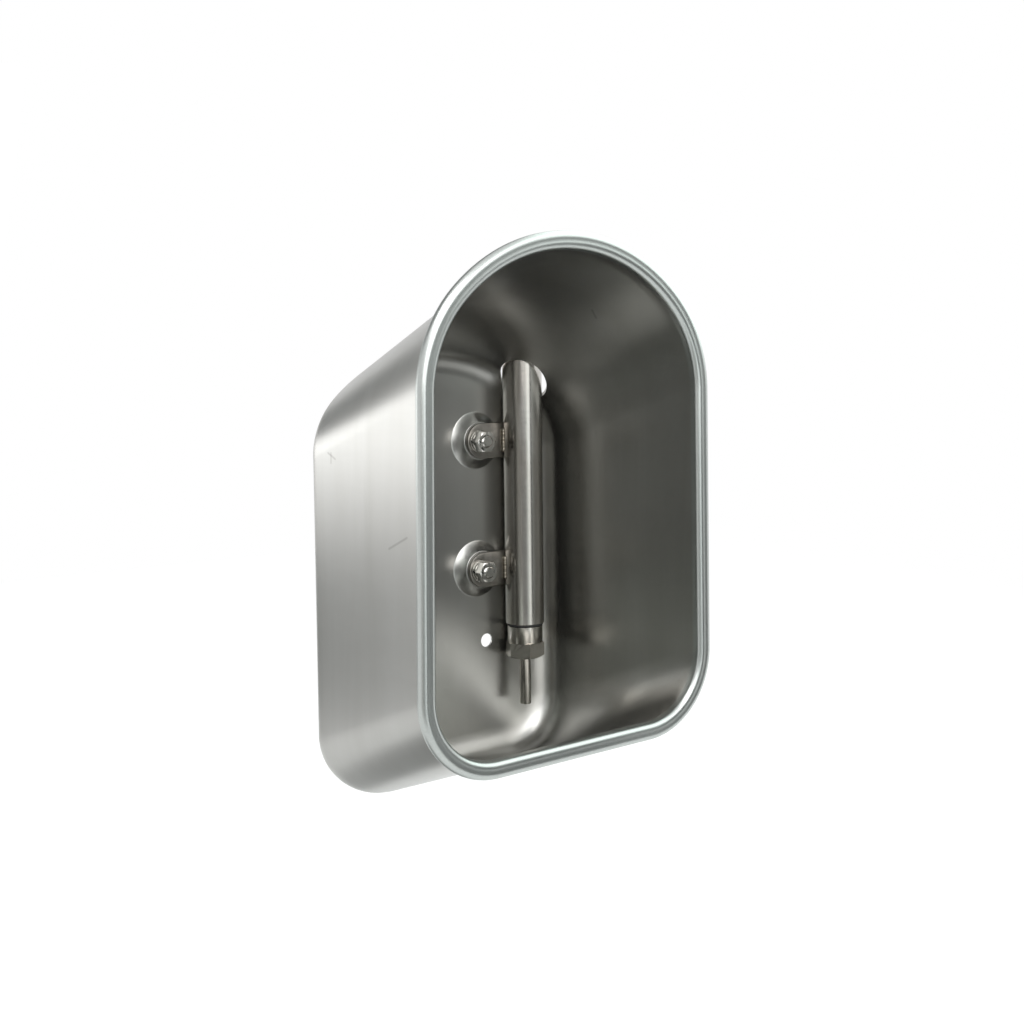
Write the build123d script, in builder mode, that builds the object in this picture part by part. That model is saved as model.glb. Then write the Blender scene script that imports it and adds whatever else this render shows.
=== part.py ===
"""Livestock drinking bowl: a deep drawn stainless hood bowl with a supply pipe and a tilting pin valve.

Frame: the origin lies on the wall face, on the bowl's centre line, level with the lip.
X is to the right of someone facing the bowl, Y points into the wall and Z is up. Millimetres.
"""

import math
import os

from build123d import *

# ---- driving dimensions ----------------------------------------------------------------------

sheet = 1.5  # thickness of the drawn stainless sheet
bowl_depth = 151.8  # wall face to the foremost line of the rim
arch_join_angle = 45.0  # where the side arcs of the arch meet its top arc

# Opening at the rim, measured on the inner face of the wall.
mouth_half_width = 94.0
mouth_rise = 80.0  # height of the arch above its side arc centres
mouth_top = 289.5
mouth_bottom = 10.5
mouth_corner_radius = 40.0
mouth_side_lean = 1.1  # degrees that each side widens downwards

# Back of the bowl, measured on the outer face.
back_half_width = 94.4
back_rise = 69.1
back_top = 236.4
back_bottom = -52.7
back_corner_radius = 45.6
back_side_lean = 0.6
back_edge_radius = 19.2  # rounding between the back and the walls

# Rolled rim.
rim_straight = 3.0
rim_bend_radius = 2.0  # hidden side of the outward bend
rim_bend_turn = 110.0
rim_groove_radius = 1.0
rim_groove_turn = 50.0
rim_bead_radius = 3.2
rim_bead_turn = 215.0

# Supply pipe and the hole in the hood that it comes through.
pipe_diameter = 26.9
pipe_bore = 19.0
pipe_x = 63.5
pipe_gap_to_back = 1.05  # between the pipe and the inner face of the back
pipe_bottom = 51.4
pipe_top = 284.0
pipe_thread_diameter = 26.4
pipe_thread_length = 16.0
pipe_thread_chamfer = 1.5
hood_hole_diameter = 31.0
hood_hole_shift_x = 1.3  # to the right of the pipe axis
hood_hole_gap_to_back = 0.2  # between the hole and the inner face of the back

# Pressed bosses, brackets and their fasteners.
bolt_x = 30.5
upper_bolt_z = 177.9
lower_bolt_z = 90.2
boss_shift_x = 3.5  # the bosses and the tabs' round ends lie this far nearer the pipe than the bolts
boss_height = 6.0
boss_base_diameter = 38.6
boss_flat_diameter = 26.0
boss_foot_rounding = 3.0  # on the face inside the bowl
boss_flat_rounding = 2.5
tab_width = 24.0
tab_thickness = 3.0
bolt_diameter = 8.0
bolt_length = 16.0
bolt_head_width = 13.0
bolt_head_height = 5.3
bolt_hole_clearance = 0.8  # on the diameter
bolt_tip_chamfer = 1.0
washer_diameter = 15.0
washer_thickness = 1.6
lock_washer_diameter = 14.0
lock_washer_thickness = 2.0
lock_washer_gap = 1.2
nut_width = 13.0
nut_height = 6.5
hex_corner_chamfer = 0.9
weld_bead_radius = 2.6
weld_bead_length = 18.0

# Wall fixing hole through the back.
wall_hole_x = 41.1
wall_hole_z = 39.2
wall_hole_diameter = 9.0

# Pin valve screwed into the lower end of the pipe, measured down from the pipe's end.
gasket_thickness = 1.2
gasket_diameter = 25.4
collar_diameter = 24.6
collar_height = 12.0
hexagon_width = 24.0
hexagon_height = 10.8
hexagon_turn = 7.0
hexagon_chamfer = 2.0
thread_diameter = 20.8
thread_length = 14.0
thread_clearance = 0.2  # on the diameter, between the body's thread and the pipe
cavity_diameter = 15.6
seat_depth = 8.0  # below the pipe's end
outlet_diameter = 12.4
seat_ring_bore = 10.0
seat_ring_thickness = 2.0
seat_ring_clearance = 0.1  # on the diameter, in the cavity
pin_diameter = 8.0
pin_tip_chamfer = 0.6
pin_reach = 33.6  # below the hexagon
pin_head_diameter = 14.0
pin_head_thickness = 2.0
pin_pip_diameter = 5.0
pin_pip_height = 1.4
spring_outer_diameter = 8.6
spring_wire = 0.9
spring_turns = 4.0
spring_end_clearance = 0.1
cap_thickness = 3.0
cap_hole_diameter = 4.0
cap_clearance = 0.1  # on the diameter, in the cavity
cap_top = 11.5  # above the pipe's end
restrictor_thickness = 1.5
restrictor_orifice = 1.6
retaining_ring_thickness = 0.8
retaining_ring_width = 1.5  # across the wire
retaining_ring_gap = 3.0
strainer_flange_diameter = 18.6
strainer_flange_thickness = 1.2
strainer_diameter = 12.0
strainer_height = 16.0
strainer_wall = 0.8
strainer_windows = 4  # round the cage
strainer_window_width = 5.4
strainer_window_height = 10.0
gauze_thickness = 0.3
gauze_clearance = 0.1  # on the diameter, inside the cage

# ---- places worked out from the sizes --------------------------------------------------------

pipe_radius = pipe_diameter / 2
pipe_y = -(sheet + pipe_gap_to_back + pipe_radius)
hood_hole_y = -(sheet + hood_hole_gap_to_back + hood_hole_diameter / 2)
back_inner_y = -sheet
boss_face_y = back_inner_y - boss_height
tab_face_y = boss_face_y - tab_thickness
washer_face_y = tab_face_y - washer_thickness
lock_washer_face_y = washer_face_y - lock_washer_thickness
bolt_head_y = -boss_height
bolt_hole_diameter = bolt_diameter + bolt_hole_clearance

rim_outer_bend = rim_bend_radius + sheet
rim_heading = math.radians(90 - rim_bend_turn)
rim_rise = (
    rim_straight
    + rim_outer_bend * math.cos(rim_heading)
    + rim_groove_radius * (math.cos(rim_heading) - math.cos(rim_heading + math.radians(rim_groove_turn)))
    + rim_bead_radius * (1 - math.cos(rim_heading + math.radians(rim_groove_turn)))
)
wall_depth = bowl_depth - rim_rise  # wall face to the plane where the rim begins

boss_x = bolt_x + boss_shift_x
bolt_places = ((bolt_x, upper_bolt_z), (bolt_x, lower_bolt_z))

pipe_axis = Axis((pipe_x, pipe_y, 0), (0, 0, 1))
valve_plane = Plane(origin=(pipe_x, pipe_y, pipe_bottom), x_dir=(1, 0, 0), z_dir=(0, -1, 0))

collar_top = -gasket_thickness
hexagon_top = collar_top - collar_height
hexagon_bottom = hexagon_top - hexagon_height
pin_tip = hexagon_bottom - pin_reach
seat_ring_bottom = -seat_depth
seat_ring_top = seat_ring_bottom + seat_ring_thickness
pin_head_top = seat_ring_top + pin_head_thickness
cap_bottom = cap_top - cap_thickness
restrictor_top = cap_top + restrictor_thickness
strainer_middle = thread_length + (strainer_flange_thickness + strainer_height - strainer_wall) / 2
gauze_radius = (strainer_diameter - gauze_clearance) / 2 - strainer_wall


def level(height):
    """Horizontal plane at a height above the pipe's end, centred on the pipe."""
    return Plane(origin=(pipe_x, pipe_y, pipe_bottom + height))


def bowl_outline(half_width, rise, top, bottom, corner, side_lean):
    """Closed outline: three-centred arch, leaning sides, rounded lower corners, flat bottom."""
    lean = math.radians(side_lean)
    join = math.radians(arch_join_angle)
    spread = (1 - math.sin(join)) / math.cos(join)
    side_radius = (rise - spread * half_width) / (1 - spread)
    arc_x = half_width - side_radius
    top_radius = side_radius + arc_x / math.cos(join)
    arc_z = top - rise
    top_z = top - top_radius
    side_x = arc_x + side_radius * math.cos(lean)
    side_z = arc_z + side_radius * math.sin(lean)
    corner_z = bottom + corner
    corner_x = side_x - (corner + (corner_z - side_z) * math.sin(lean)) / math.cos(lean)
    foot_x = corner_x + corner * math.cos(lean)
    foot_z = corner_z + corner * math.sin(lean)
    Line((0, bottom), (corner_x, bottom))
    CenterArc((corner_x, corner_z), corner, -90, 90 + side_lean)
    Line((foot_x, foot_z), (side_x, side_z))
    CenterArc((arc_x, arc_z), side_radius, side_lean, arch_join_angle - side_lean)
    CenterArc((0, top_z), top_radius, arch_join_angle, 180 - 2 * arch_join_angle)
    CenterArc((-arc_x, arc_z), side_radius, 180 - arch_join_angle, arch_join_angle - side_lean)
    Line((-side_x, side_z), (-foot_x, foot_z))
    CenterArc((-corner_x, corner_z), corner, 180 - side_lean, 90 + side_lean)
    Line((-corner_x, bottom), (0, bottom))


def mouth_outline(grow):
    """Outline of the mouth, offset outwards."""
    bowl_outline(
        mouth_half_width + grow,
        mouth_rise + grow,
        mouth_top + grow,
        mouth_bottom - grow,
        mouth_corner_radius + grow,
        mouth_side_lean,
    )


def back_outline(shrink):
    """Outline of the back, offset inwards."""
    bowl_outline(
        back_half_width - shrink,
        back_rise - shrink,
        back_top - shrink,
        back_bottom + shrink,
        back_corner_radius - shrink,
        back_side_lean,
    )


def boss_section(face, floor, foot_rounding, flat_rounding):
    """Half section of a boss, from its axis outwards and from a floor up to its face."""
    foot = boss_base_diameter / 2 + foot_rounding
    FilletPolyline(
        (foot, face),
        (boss_base_diameter / 2, face),
        (boss_flat_diameter / 2, face + boss_height),
        (0, face + boss_height),
        radius=[foot_rounding, flat_rounding],
    )
    Polyline((0, face + boss_height), (0, floor), (foot, floor), (foot, face))


# ---- bowl: drawn shell with pressed bosses and a rolled rim ----------------------------------


with BuildPart() as bowl_hollow:
    with BuildSketch(Plane.XZ.offset(sheet)):
        with BuildLine():
            back_outline(sheet)
        make_face()
    with BuildSketch(Plane.XZ.offset(wall_depth)):
        with BuildLine():
            mouth_outline(0)
        make_face()
    loft(ruled=True)
    fillet(bowl_hollow.faces().sort_by(Axis.Y)[-1].edges(), back_edge_radius - sheet)

with BuildPart() as bowl_shell:
    with BuildSketch(Plane.XZ):
        with BuildLine():
            back_outline(0)
        make_face()
    with BuildSketch(Plane.XZ.offset(wall_depth)):
        with BuildLine():
            mouth_outline(sheet)
        make_face()
    loft(ruled=True)
    fillet(bowl_shell.faces().sort_by(Axis.Y)[-1].edges(), back_edge_radius)
    add(bowl_hollow.part, mode=Mode.SUBTRACT)

    # Bosses: each stands proud inside the bowl, and the same form is hollow from behind.
    for _, boss_z in bolt_places:
        boss_plane = Plane(origin=(boss_x, 0, boss_z), x_dir=(1, 0, 0), z_dir=(0, 0, -1))
        with BuildSketch(boss_plane):
            with BuildLine():
                boss_section(sheet, 0, boss_foot_rounding, boss_flat_rounding)
            make_face()
        revolve(axis=Axis((boss_x, 0, boss_z), (0, 1, 0)))
        with BuildSketch(boss_plane):
            with BuildLine():
                boss_section(0, -sheet, boss_foot_rounding + sheet, boss_flat_rounding - sheet)
            make_face()
        revolve(axis=Axis((boss_x, 0, boss_z), (0, 1, 0)), mode=Mode.SUBTRACT)

    # Rim: the wall bends outwards, dips into a groove and rolls back on itself.
    with BuildLine(Plane.XZ.offset(wall_depth)) as rim_path:
        mouth_outline(0)
    with BuildSketch(Plane(origin=(0, -wall_depth, mouth_bottom), x_dir=(0, 0, -1), z_dir=(-1, 0, 0))):
        with BuildLine():
            front_wall = Line((0, 0), (0, rim_straight))
            front_bend = JernArc(front_wall @ 1, front_wall % 1, rim_outer_bend, -rim_bend_turn)
            front_groove = JernArc(front_bend @ 1, front_bend % 1, rim_groove_radius, rim_groove_turn)
            front_bead = JernArc(front_groove @ 1, front_groove % 1, rim_bead_radius, -rim_bead_turn)
            rear_wall = Line((sheet, 0), (sheet, rim_straight))
            rear_bend = JernArc(rear_wall @ 1, rear_wall % 1, rim_bend_radius, -rim_bend_turn)
            rear_groove = JernArc(rear_bend @ 1, rear_bend % 1, rim_groove_radius + sheet, rim_groove_turn)
            rear_bead = JernArc(rear_groove @ 1, rear_groove % 1, rim_bead_radius - sheet, -rim_bead_turn)
            Line(front_bead @ 1, rear_bead @ 1)
            Line(front_wall @ 0, rear_wall @ 0)
        make_face()
    sweep(path=rim_path.wire())

    # Holes: two bolts, the wall fixing and the oversize hole that the pipe drops through.
    with BuildSketch(Plane.XZ):
        with Locations(*bolt_places):
            Circle(bolt_hole_diameter / 2)
        with Locations((wall_hole_x, wall_hole_z)):
            Circle(wall_hole_diameter / 2)
    extrude(amount=sheet + boss_height, mode=Mode.SUBTRACT)
    with BuildSketch(Plane.XY.offset(mouth_top)):
        with Locations((pipe_x + hood_hole_shift_x, hood_hole_y)):
            Circle(hood_hole_diameter / 2)
    extrude(amount=upper_bolt_z - mouth_top, mode=Mode.SUBTRACT)

bowl_shell.part.label = "bowl_shell"

# ---- supply pipe -----------------------------------------------------------------------------

with BuildPart() as supply_pipe:
    with BuildSketch(Plane(origin=(pipe_x, pipe_y, pipe_bottom), x_dir=(1, 0, 0), z_dir=(0, -1, 0))):
        with BuildLine():
            Polyline(
                (pipe_bore / 2, thread_length),
                ((thread_diameter + thread_clearance) / 2, thread_length),
                ((thread_diameter + thread_clearance) / 2, 0),
                (pipe_radius, 0),
                (pipe_radius, pipe_top - pipe_bottom - pipe_thread_length),
                (pipe_thread_diameter / 2, pipe_top - pipe_bottom - pipe_thread_length),
                (pipe_thread_diameter / 2, pipe_top - pipe_bottom - pipe_thread_chamfer),
                (pipe_thread_diameter / 2 - pipe_thread_chamfer, pipe_top - pipe_bottom),
                (pipe_bore / 2, pipe_top - pipe_bottom),
                close=True,
            )
        make_face()
    revolve(axis=pipe_axis)
supply_pipe.part.label = "supply_pipe"

# ---- brackets between the pipe and the bosses, with their weld beads -------------------------


def bracket_tab(bolt_z):
    """Flat tab with a round end, coped to the pipe."""
    with BuildPart() as tab:
        with BuildSketch(Plane.XZ.offset(-boss_face_y)):
            with Locations((boss_x, bolt_z)):
                Circle(tab_width / 2)
            with Locations(((boss_x + pipe_x) / 2, bolt_z)):
                Rectangle(pipe_x - boss_x, tab_width)
            with Locations((bolt_x, bolt_z)):
                Circle(bolt_hole_diameter / 2, mode=Mode.SUBTRACT)
        extrude(amount=tab_thickness)
        with BuildSketch(Plane.XY.offset(bolt_z - tab_width)):
            with Locations((pipe_x, pipe_y)):
                Circle(pipe_radius)
        extrude(amount=2 * tab_width, mode=Mode.SUBTRACT)
        # Past the pipe there is no tab.
        with BuildSketch(Plane.XY.offset(bolt_z - tab_width)):
            with Locations((pipe_x, pipe_y)):
                Rectangle(pipe_radius, pipe_diameter)
        extrude(amount=2 * tab_width, mode=Mode.SUBTRACT)
    return tab


upper_tab = bracket_tab(upper_bolt_z)
upper_tab.part.label = "upper_tab"
lower_tab = bracket_tab(lower_bolt_z)
lower_tab.part.label = "lower_tab"

with BuildPart() as tab_welds:
    for _, bolt_z in bolt_places:
        for face_y in (boss_face_y, tab_face_y):
            junction_x = pipe_x - math.sqrt(pipe_radius**2 - (face_y - pipe_y) ** 2)
            with BuildSketch(Plane.XY.offset(bolt_z - weld_bead_length / 2)):
                with Locations((junction_x, face_y)):
                    Circle(weld_bead_radius)
                with Locations((pipe_x, pipe_y)):
                    Circle(pipe_radius, mode=Mode.SUBTRACT)
                with Locations((junction_x, (boss_face_y + tab_face_y) / 2)):
                    Rectangle(4 * weld_bead_radius, tab_thickness, mode=Mode.SUBTRACT)
                with Locations((pipe_x, pipe_y)):
                    Rectangle(pipe_radius, 2 * pipe_diameter, mode=Mode.SUBTRACT)
            extrude(amount=weld_bead_length)
tab_welds.part.label = "tab_welds"

# ---- fasteners: heads behind the bosses, washers and nuts inside the bowl --------------------

with BuildPart() as clamp_bolts:
    with BuildSketch(Plane.XZ.offset(-bolt_head_y - bolt_head_height)):
        with Locations(*bolt_places):
            RegularPolygon(bolt_head_width / 2, 6, major_radius=False)
    extrude(amount=bolt_head_height)
    with BuildSketch(Plane.XZ.offset(-bolt_head_y)):
        with Locations(*bolt_places):
            Circle(bolt_diameter / 2)
    extrude(amount=bolt_length)
    chamfer(clamp_bolts.faces().sort_by(Axis.Y)[:2].edges(), bolt_tip_chamfer)
clamp_bolts.part.label = "clamp_bolts"

with BuildPart() as plain_washers:
    with BuildSketch(Plane.XZ.offset(-tab_face_y)):
        with Locations(*bolt_places):
            Circle(washer_diameter / 2)
            Circle(bolt_hole_diameter / 2, mode=Mode.SUBTRACT)
    extrude(amount=washer_thickness)
plain_washers.part.label = "plain_washers"

with BuildPart() as lock_washers:
    with BuildSketch(Plane.XZ.offset(-washer_face_y)):
        with Locations(*bolt_places):
            Circle(lock_washer_diameter / 2)
            Circle(bolt_hole_diameter / 2, mode=Mode.SUBTRACT)
        for x, z in bolt_places:
            with Locations((x - lock_washer_diameter / 2, z)):
                Rectangle(lock_washer_diameter, lock_washer_gap, mode=Mode.SUBTRACT)
    extrude(amount=lock_washer_thickness)
lock_washers.part.label = "lock_washers"

with BuildPart() as hex_nuts:
    # Turned blanks with a chamfered front edge, cut to hexagons.
    with BuildSketch(Plane.XZ.offset(-lock_washer_face_y)):
        with Locations(*bolt_places):
            Circle(nut_width / 2 / math.cos(math.pi / 6))
    extrude(amount=nut_height)
    chamfer(hex_nuts.faces().sort_by(Axis.Y)[:2].edges(), hex_corner_chamfer)
    with BuildSketch(Plane.XZ.offset(-lock_washer_face_y)):
        with Locations(*bolt_places):
            RegularPolygon(nut_width / 2, 6, major_radius=False)
    extrude(amount=nut_height, mode=Mode.INTERSECT)
    with BuildSketch(Plane.XZ.offset(-lock_washer_face_y)):
        with Locations(*bolt_places):
            Circle(bolt_diameter / 2)
    extrude(amount=nut_height, mode=Mode.SUBTRACT)
hex_nuts.part.label = "hex_nuts"

# ---- pin valve -------------------------------------------------------------------------------

with BuildPart() as valve_gasket:
    with BuildSketch(level(-gasket_thickness)):
        Circle(gasket_diameter / 2)
        Circle((thread_diameter + thread_clearance) / 2, mode=Mode.SUBTRACT)
    extrude(amount=gasket_thickness)
valve_gasket.part.label = "valve_gasket"

with BuildPart() as valve_body:
    with BuildSketch(level(hexagon_bottom)):
        RegularPolygon(hexagon_width / 2, 6, major_radius=False, rotation=hexagon_turn)
    extrude(amount=hexagon_height)
    with BuildSketch(valve_plane):
        with BuildLine():
            Polyline(
                (0, hexagon_bottom),
                (hexagon_width / 2 - hexagon_chamfer / 2, hexagon_bottom),
                (hexagon_width / 2 + hexagon_chamfer, hexagon_bottom + hexagon_chamfer),
                (hexagon_width / 2 + hexagon_chamfer, hexagon_top),
                (0, hexagon_top),
                close=True,
            )
        make_face()
    revolve(axis=pipe_axis, mode=Mode.INTERSECT)
    with BuildSketch(level(hexagon_top)):
        Circle(collar_diameter / 2)
    extrude(amount=collar_height)
    with BuildSketch(level(collar_top)):
        Circle(thread_diameter / 2)
    extrude(amount=thread_length - collar_top)
    with BuildSketch(level(hexagon_bottom)):
        Circle(outlet_diameter / 2)
    extrude(amount=thread_length - hexagon_bottom, mode=Mode.SUBTRACT)
    with BuildSketch(level(seat_ring_bottom)):
        Circle(cavity_diameter / 2)
    extrude(amount=thread_length - seat_ring_bottom, mode=Mode.SUBTRACT)
valve_body.part.label = "valve_body"

with BuildPart() as seat_ring:
    with BuildSketch(level(seat_ring_bottom)):
        Circle((cavity_diameter - seat_ring_clearance) / 2)
        Circle(seat_ring_bore / 2, mode=Mode.SUBTRACT)
    extrude(amount=seat_ring_thickness)
seat_ring.part.label = "seat_ring"

with BuildPart() as valve_pin:
    with BuildSketch(valve_plane):
        with BuildLine():
            Polyline(
                (0, pin_tip),
                (pin_diameter / 2 - pin_tip_chamfer, pin_tip),
                (pin_diameter / 2, pin_tip + pin_tip_chamfer),
                (pin_diameter / 2, seat_ring_top),
                (pin_head_diameter / 2, seat_ring_top),
                (pin_head_diameter / 2, pin_head_top),
                (pin_pip_diameter / 2, pin_head_top),
                (pin_pip_diameter / 2, pin_head_top + pin_pip_height),
                (0, pin_head_top + pin_pip_height),
                close=True,
            )
        make_face()
    revolve(axis=pipe_axis)
valve_pin.part.label = "valve_pin"

spring_radius = (spring_outer_diameter - spring_wire) / 2
spring_bottom = pin_head_top + spring_end_clearance + spring_wire / 2
spring_height = cap_bottom - spring_end_clearance - spring_wire / 2 - spring_bottom
with BuildPart() as return_spring:
    with BuildLine():
        coil = Helix(
            pitch=spring_height / spring_turns,
            height=spring_height,
            radius=spring_radius,
            center=(pipe_x, pipe_y, pipe_bottom + spring_bottom),
        )
    with BuildSketch(Plane(origin=coil @ 0, z_dir=coil % 0)):
        Circle(spring_wire / 2)
    sweep(path=coil, is_frenet=True)
return_spring.part.label = "return_spring"

with BuildPart() as spring_cap:
    with BuildSketch(level(cap_bottom)):
        Circle((cavity_diameter - cap_clearance) / 2)
        Circle(cap_hole_diameter / 2, mode=Mode.SUBTRACT)
    extrude(amount=cap_thickness)
spring_cap.part.label = "spring_cap"

with BuildPart() as flow_restrictor:
    with BuildSketch(level(cap_top)):
        Circle((cavity_diameter - cap_clearance) / 2)
        Circle(restrictor_orifice / 2, mode=Mode.SUBTRACT)
    extrude(amount=restrictor_thickness)
flow_restrictor.part.label = "flow_restrictor"

with BuildPart() as retaining_ring:
    with BuildSketch(level(restrictor_top)):
        Circle((cavity_diameter - cap_clearance) / 2)
        Circle(cavity_diameter / 2 - retaining_ring_width, mode=Mode.SUBTRACT)
        with Locations((cavity_diameter / 2, 0)):
            Rectangle(cavity_diameter / 2, retaining_ring_gap, mode=Mode.SUBTRACT)
    extrude(amount=retaining_ring_thickness)
retaining_ring.part.label = "retaining_ring"

with BuildPart() as inlet_strainer:
    with BuildSketch(valve_plane):
        with BuildLine():
            Polyline(
                (strainer_diameter / 2 - strainer_wall, thread_length),
                (strainer_flange_diameter / 2, thread_length),
                (strainer_flange_diameter / 2, thread_length + strainer_flange_thickness),
                (strainer_diameter / 2, thread_length + strainer_flange_thickness),
                (strainer_diameter / 2, thread_length + strainer_height),
                (0, thread_length + strainer_height),
                (0, thread_length + strainer_height - strainer_wall),
                (strainer_diameter / 2 - strainer_wall, thread_length + strainer_height - strainer_wall),
                close=True,
            )
        make_face()
    revolve(axis=pipe_axis)
    for window in range(strainer_windows):
        outwards = Vector(1, 0, 0).rotate(Axis.Z, 360 * (window + 0.5) / strainer_windows)
        with BuildSketch(Plane(valve_plane.origin, x_dir=(0, 0, 1), z_dir=outwards)):
            with Locations((strainer_middle, 0)):
                Rectangle(strainer_window_height, strainer_window_width)
        extrude(amount=strainer_diameter, mode=Mode.SUBTRACT)
inlet_strainer.part.label = "inlet_strainer"

with BuildPart() as strainer_gauze:
    with BuildSketch(level(thread_length)):
        Circle(gauze_radius)
        Circle(gauze_radius - gauze_thickness, mode=Mode.SUBTRACT)
    extrude(amount=strainer_height - strainer_wall)
strainer_gauze.part.label = "strainer_gauze"

# ---- files -----------------------------------------------------------------------------------

pieces = (
    bowl_shell,
    supply_pipe,
    upper_tab,
    lower_tab,
    tab_welds,
    clamp_bolts,
    plain_washers,
    lock_washers,
    hex_nuts,
    valve_gasket,
    valve_body,
    seat_ring,
    valve_pin,
    return_spring,
    spring_cap,
    flow_restrictor,
    retaining_ring,
    inlet_strainer,
    strainer_gauze,
)
os.makedirs("parts", exist_ok=True)
for piece in pieces:
    export_step(piece.part, f"parts/{piece.part.label}.step")
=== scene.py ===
import bmesh
import bpy
import math
from mathutils import Matrix, Vector


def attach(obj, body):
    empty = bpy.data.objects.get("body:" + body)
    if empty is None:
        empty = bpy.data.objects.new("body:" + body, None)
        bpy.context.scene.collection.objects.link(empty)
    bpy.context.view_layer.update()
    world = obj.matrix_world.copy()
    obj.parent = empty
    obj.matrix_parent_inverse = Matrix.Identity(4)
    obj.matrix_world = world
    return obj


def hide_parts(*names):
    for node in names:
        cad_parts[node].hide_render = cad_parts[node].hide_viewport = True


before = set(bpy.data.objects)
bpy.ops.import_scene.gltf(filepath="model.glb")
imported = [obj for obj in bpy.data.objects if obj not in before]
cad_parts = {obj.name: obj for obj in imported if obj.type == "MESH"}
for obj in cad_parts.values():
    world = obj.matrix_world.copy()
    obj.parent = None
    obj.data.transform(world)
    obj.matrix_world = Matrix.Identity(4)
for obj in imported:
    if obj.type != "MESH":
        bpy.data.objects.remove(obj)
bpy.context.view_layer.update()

# ---- camera ----------------------------------------------------------------------------------
# Seen from the front left, a little above the middle of the bowl, level with a standing
# person's waist when the bowl hangs on a pen wall.

view_azimuth = math.radians(36.64)
view_elevation = math.radians(6.25)
view_roll = math.radians(-0.749)
view_distance = 0.65174
view_target = Vector((-0.04524, -0.149, 0.14704))
sensor_width = 36.0
focal_length = 42.1875

forward = Vector((
    math.sin(view_azimuth) * math.cos(view_elevation),
    math.cos(view_azimuth) * math.cos(view_elevation),
    -math.sin(view_elevation),
))
level_right = Vector((math.cos(view_azimuth), -math.sin(view_azimuth), 0.0))
level_up = level_right.cross(forward)
right = level_right * math.cos(view_roll) + level_up * math.sin(view_roll)
up = level_up * math.cos(view_roll) - level_right * math.sin(view_roll)

camera_data = bpy.data.cameras.new("view_camera")
camera_data.sensor_width = sensor_width
camera_data.lens = focal_length
camera_data.clip_start = 0.01
camera_data.clip_end = 50.0
camera = bpy.data.objects.new("view_camera", camera_data)
camera.matrix_world = Matrix.Translation(view_target - forward * view_distance) @ Matrix(
    (right, up, -forward)
).transposed().to_4x4()
bpy.context.scene.collection.objects.link(camera)
bpy.context.scene.camera = camera
bpy.context.scene.view_settings.view_transform = "Standard"

# ---- drawn bowl ------------------------------------------------------------------------------
# One deep drawn stainless blank: flat back, hood, sides and sump in one skin, with two pressed
# bosses for the pipe's brackets. Its rim is bent out, dipped a little and rolled under.

sheet = 0.0015
bowl_depth = 0.1518
arch_join = math.radians(45.0)

mouth = {"half_width": 0.094, "rise": 0.080, "top": 0.2895, "bottom": 0.0105, "corner": 0.040, "lean": 1.1}
back = {"half_width": 0.0944, "rise": 0.0691, "top": 0.2364, "bottom": -0.0520, "corner": 0.0456, "lean": 0.6}
back_edge_radius = 0.0192
back_edge_steps = 12
wall_steps = 24

rim_straight = 0.003
rim_bend_radius = 0.0036
rim_bend_turn = math.radians(93)
rim_dip_radius = 0.0108
rim_dip_turn = math.radians(12)
rim_bead_radius = 0.00365
rim_bead_turn = math.radians(189)

bolt_x = 0.0305
boss_x = 0.034
bolt_levels = (0.1779, 0.0902)
boss_height = 0.006
boss_flat_radius = 0.013
boss_base_radius = 0.0193
boss_flat_rounding = 0.0006
boss_foot_band = 0.0005
flank_top = math.radians(56)
flank_foot = math.radians(30)
boss_turns = 64
bolt_hole_radius = 0.0044
wall_hole_place = (0.0411, 0.0392)
wall_hole_radius = 0.0047
hood_hole_place = (0.0639, -0.0174)
hood_hole_radius = 0.0155
hood_hole_span = (0.19, 0.30)
small_hole_turns = 48


def arc_points(centre, radius, start, turn, count):
    """Points along an arc, without its last one."""
    return [
        (
            centre[0] + radius * math.cos(start + turn * i / count),
            centre[1] + radius * math.sin(start + turn * i / count),
        )
        for i in range(count)
    ]


def line_points(a, b, count):
    """Points along a straight line, without its last one."""
    return [(a[0] + (b[0] - a[0]) * i / count, a[1] + (b[1] - a[1]) * i / count) for i in range(count)]


def outline(form, grow):
    """Points round the bowl's section from the middle of the bottom: the same count for any size."""
    half_width = form["half_width"] + grow
    rise = form["rise"] + grow
    top = form["top"] + grow
    bottom = form["bottom"] - grow
    corner = form["corner"] + grow
    lean = math.radians(form["lean"])
    join_share = (1 - math.sin(arch_join)) / math.cos(arch_join)
    side_radius = (rise - join_share * half_width) / (1 - join_share)
    arc_x = half_width - side_radius
    top_radius = side_radius + arc_x / math.cos(arch_join)
    arc_z = top - rise
    side_x = arc_x + side_radius * math.cos(lean)
    side_z = arc_z + side_radius * math.sin(lean)
    corner_z = bottom + corner
    corner_x = side_x - (corner + (corner_z - side_z) * math.sin(lean)) / math.cos(lean)
    foot = (corner_x + corner * math.cos(lean), corner_z + corner * math.sin(lean))
    half = line_points((0.0, bottom), (corner_x, bottom), 20)
    half += arc_points((corner_x, corner_z), corner, -math.pi / 2, math.pi / 2 + lean, 30)
    half += line_points(foot, (side_x, side_z), 28)
    half += arc_points((arc_x, arc_z), side_radius, lean, arch_join - lean, 30)
    half += arc_points((0.0, top - top_radius), top_radius, arch_join, math.pi / 2 - arch_join, 30)
    half.append((0.0, top))
    return half + [(-x, z) for x, z in reversed(half[1:-1])]


def bend_points(start, heading, radius, turn, side, count):
    """Arc of the rim's profile: (outward, forward) points; side is +1 to turn outwards."""
    centre = (
        start[0] + side * radius * math.sin(heading),
        start[1] - side * radius * math.cos(heading),
    )
    points = []
    for i in range(1, count + 1):
        angle = heading - side * turn * i / count
        points.append(
            (centre[0] - side * radius * math.sin(angle), centre[1] + side * radius * math.cos(angle))
        )
    return points, heading - side * turn


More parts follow.
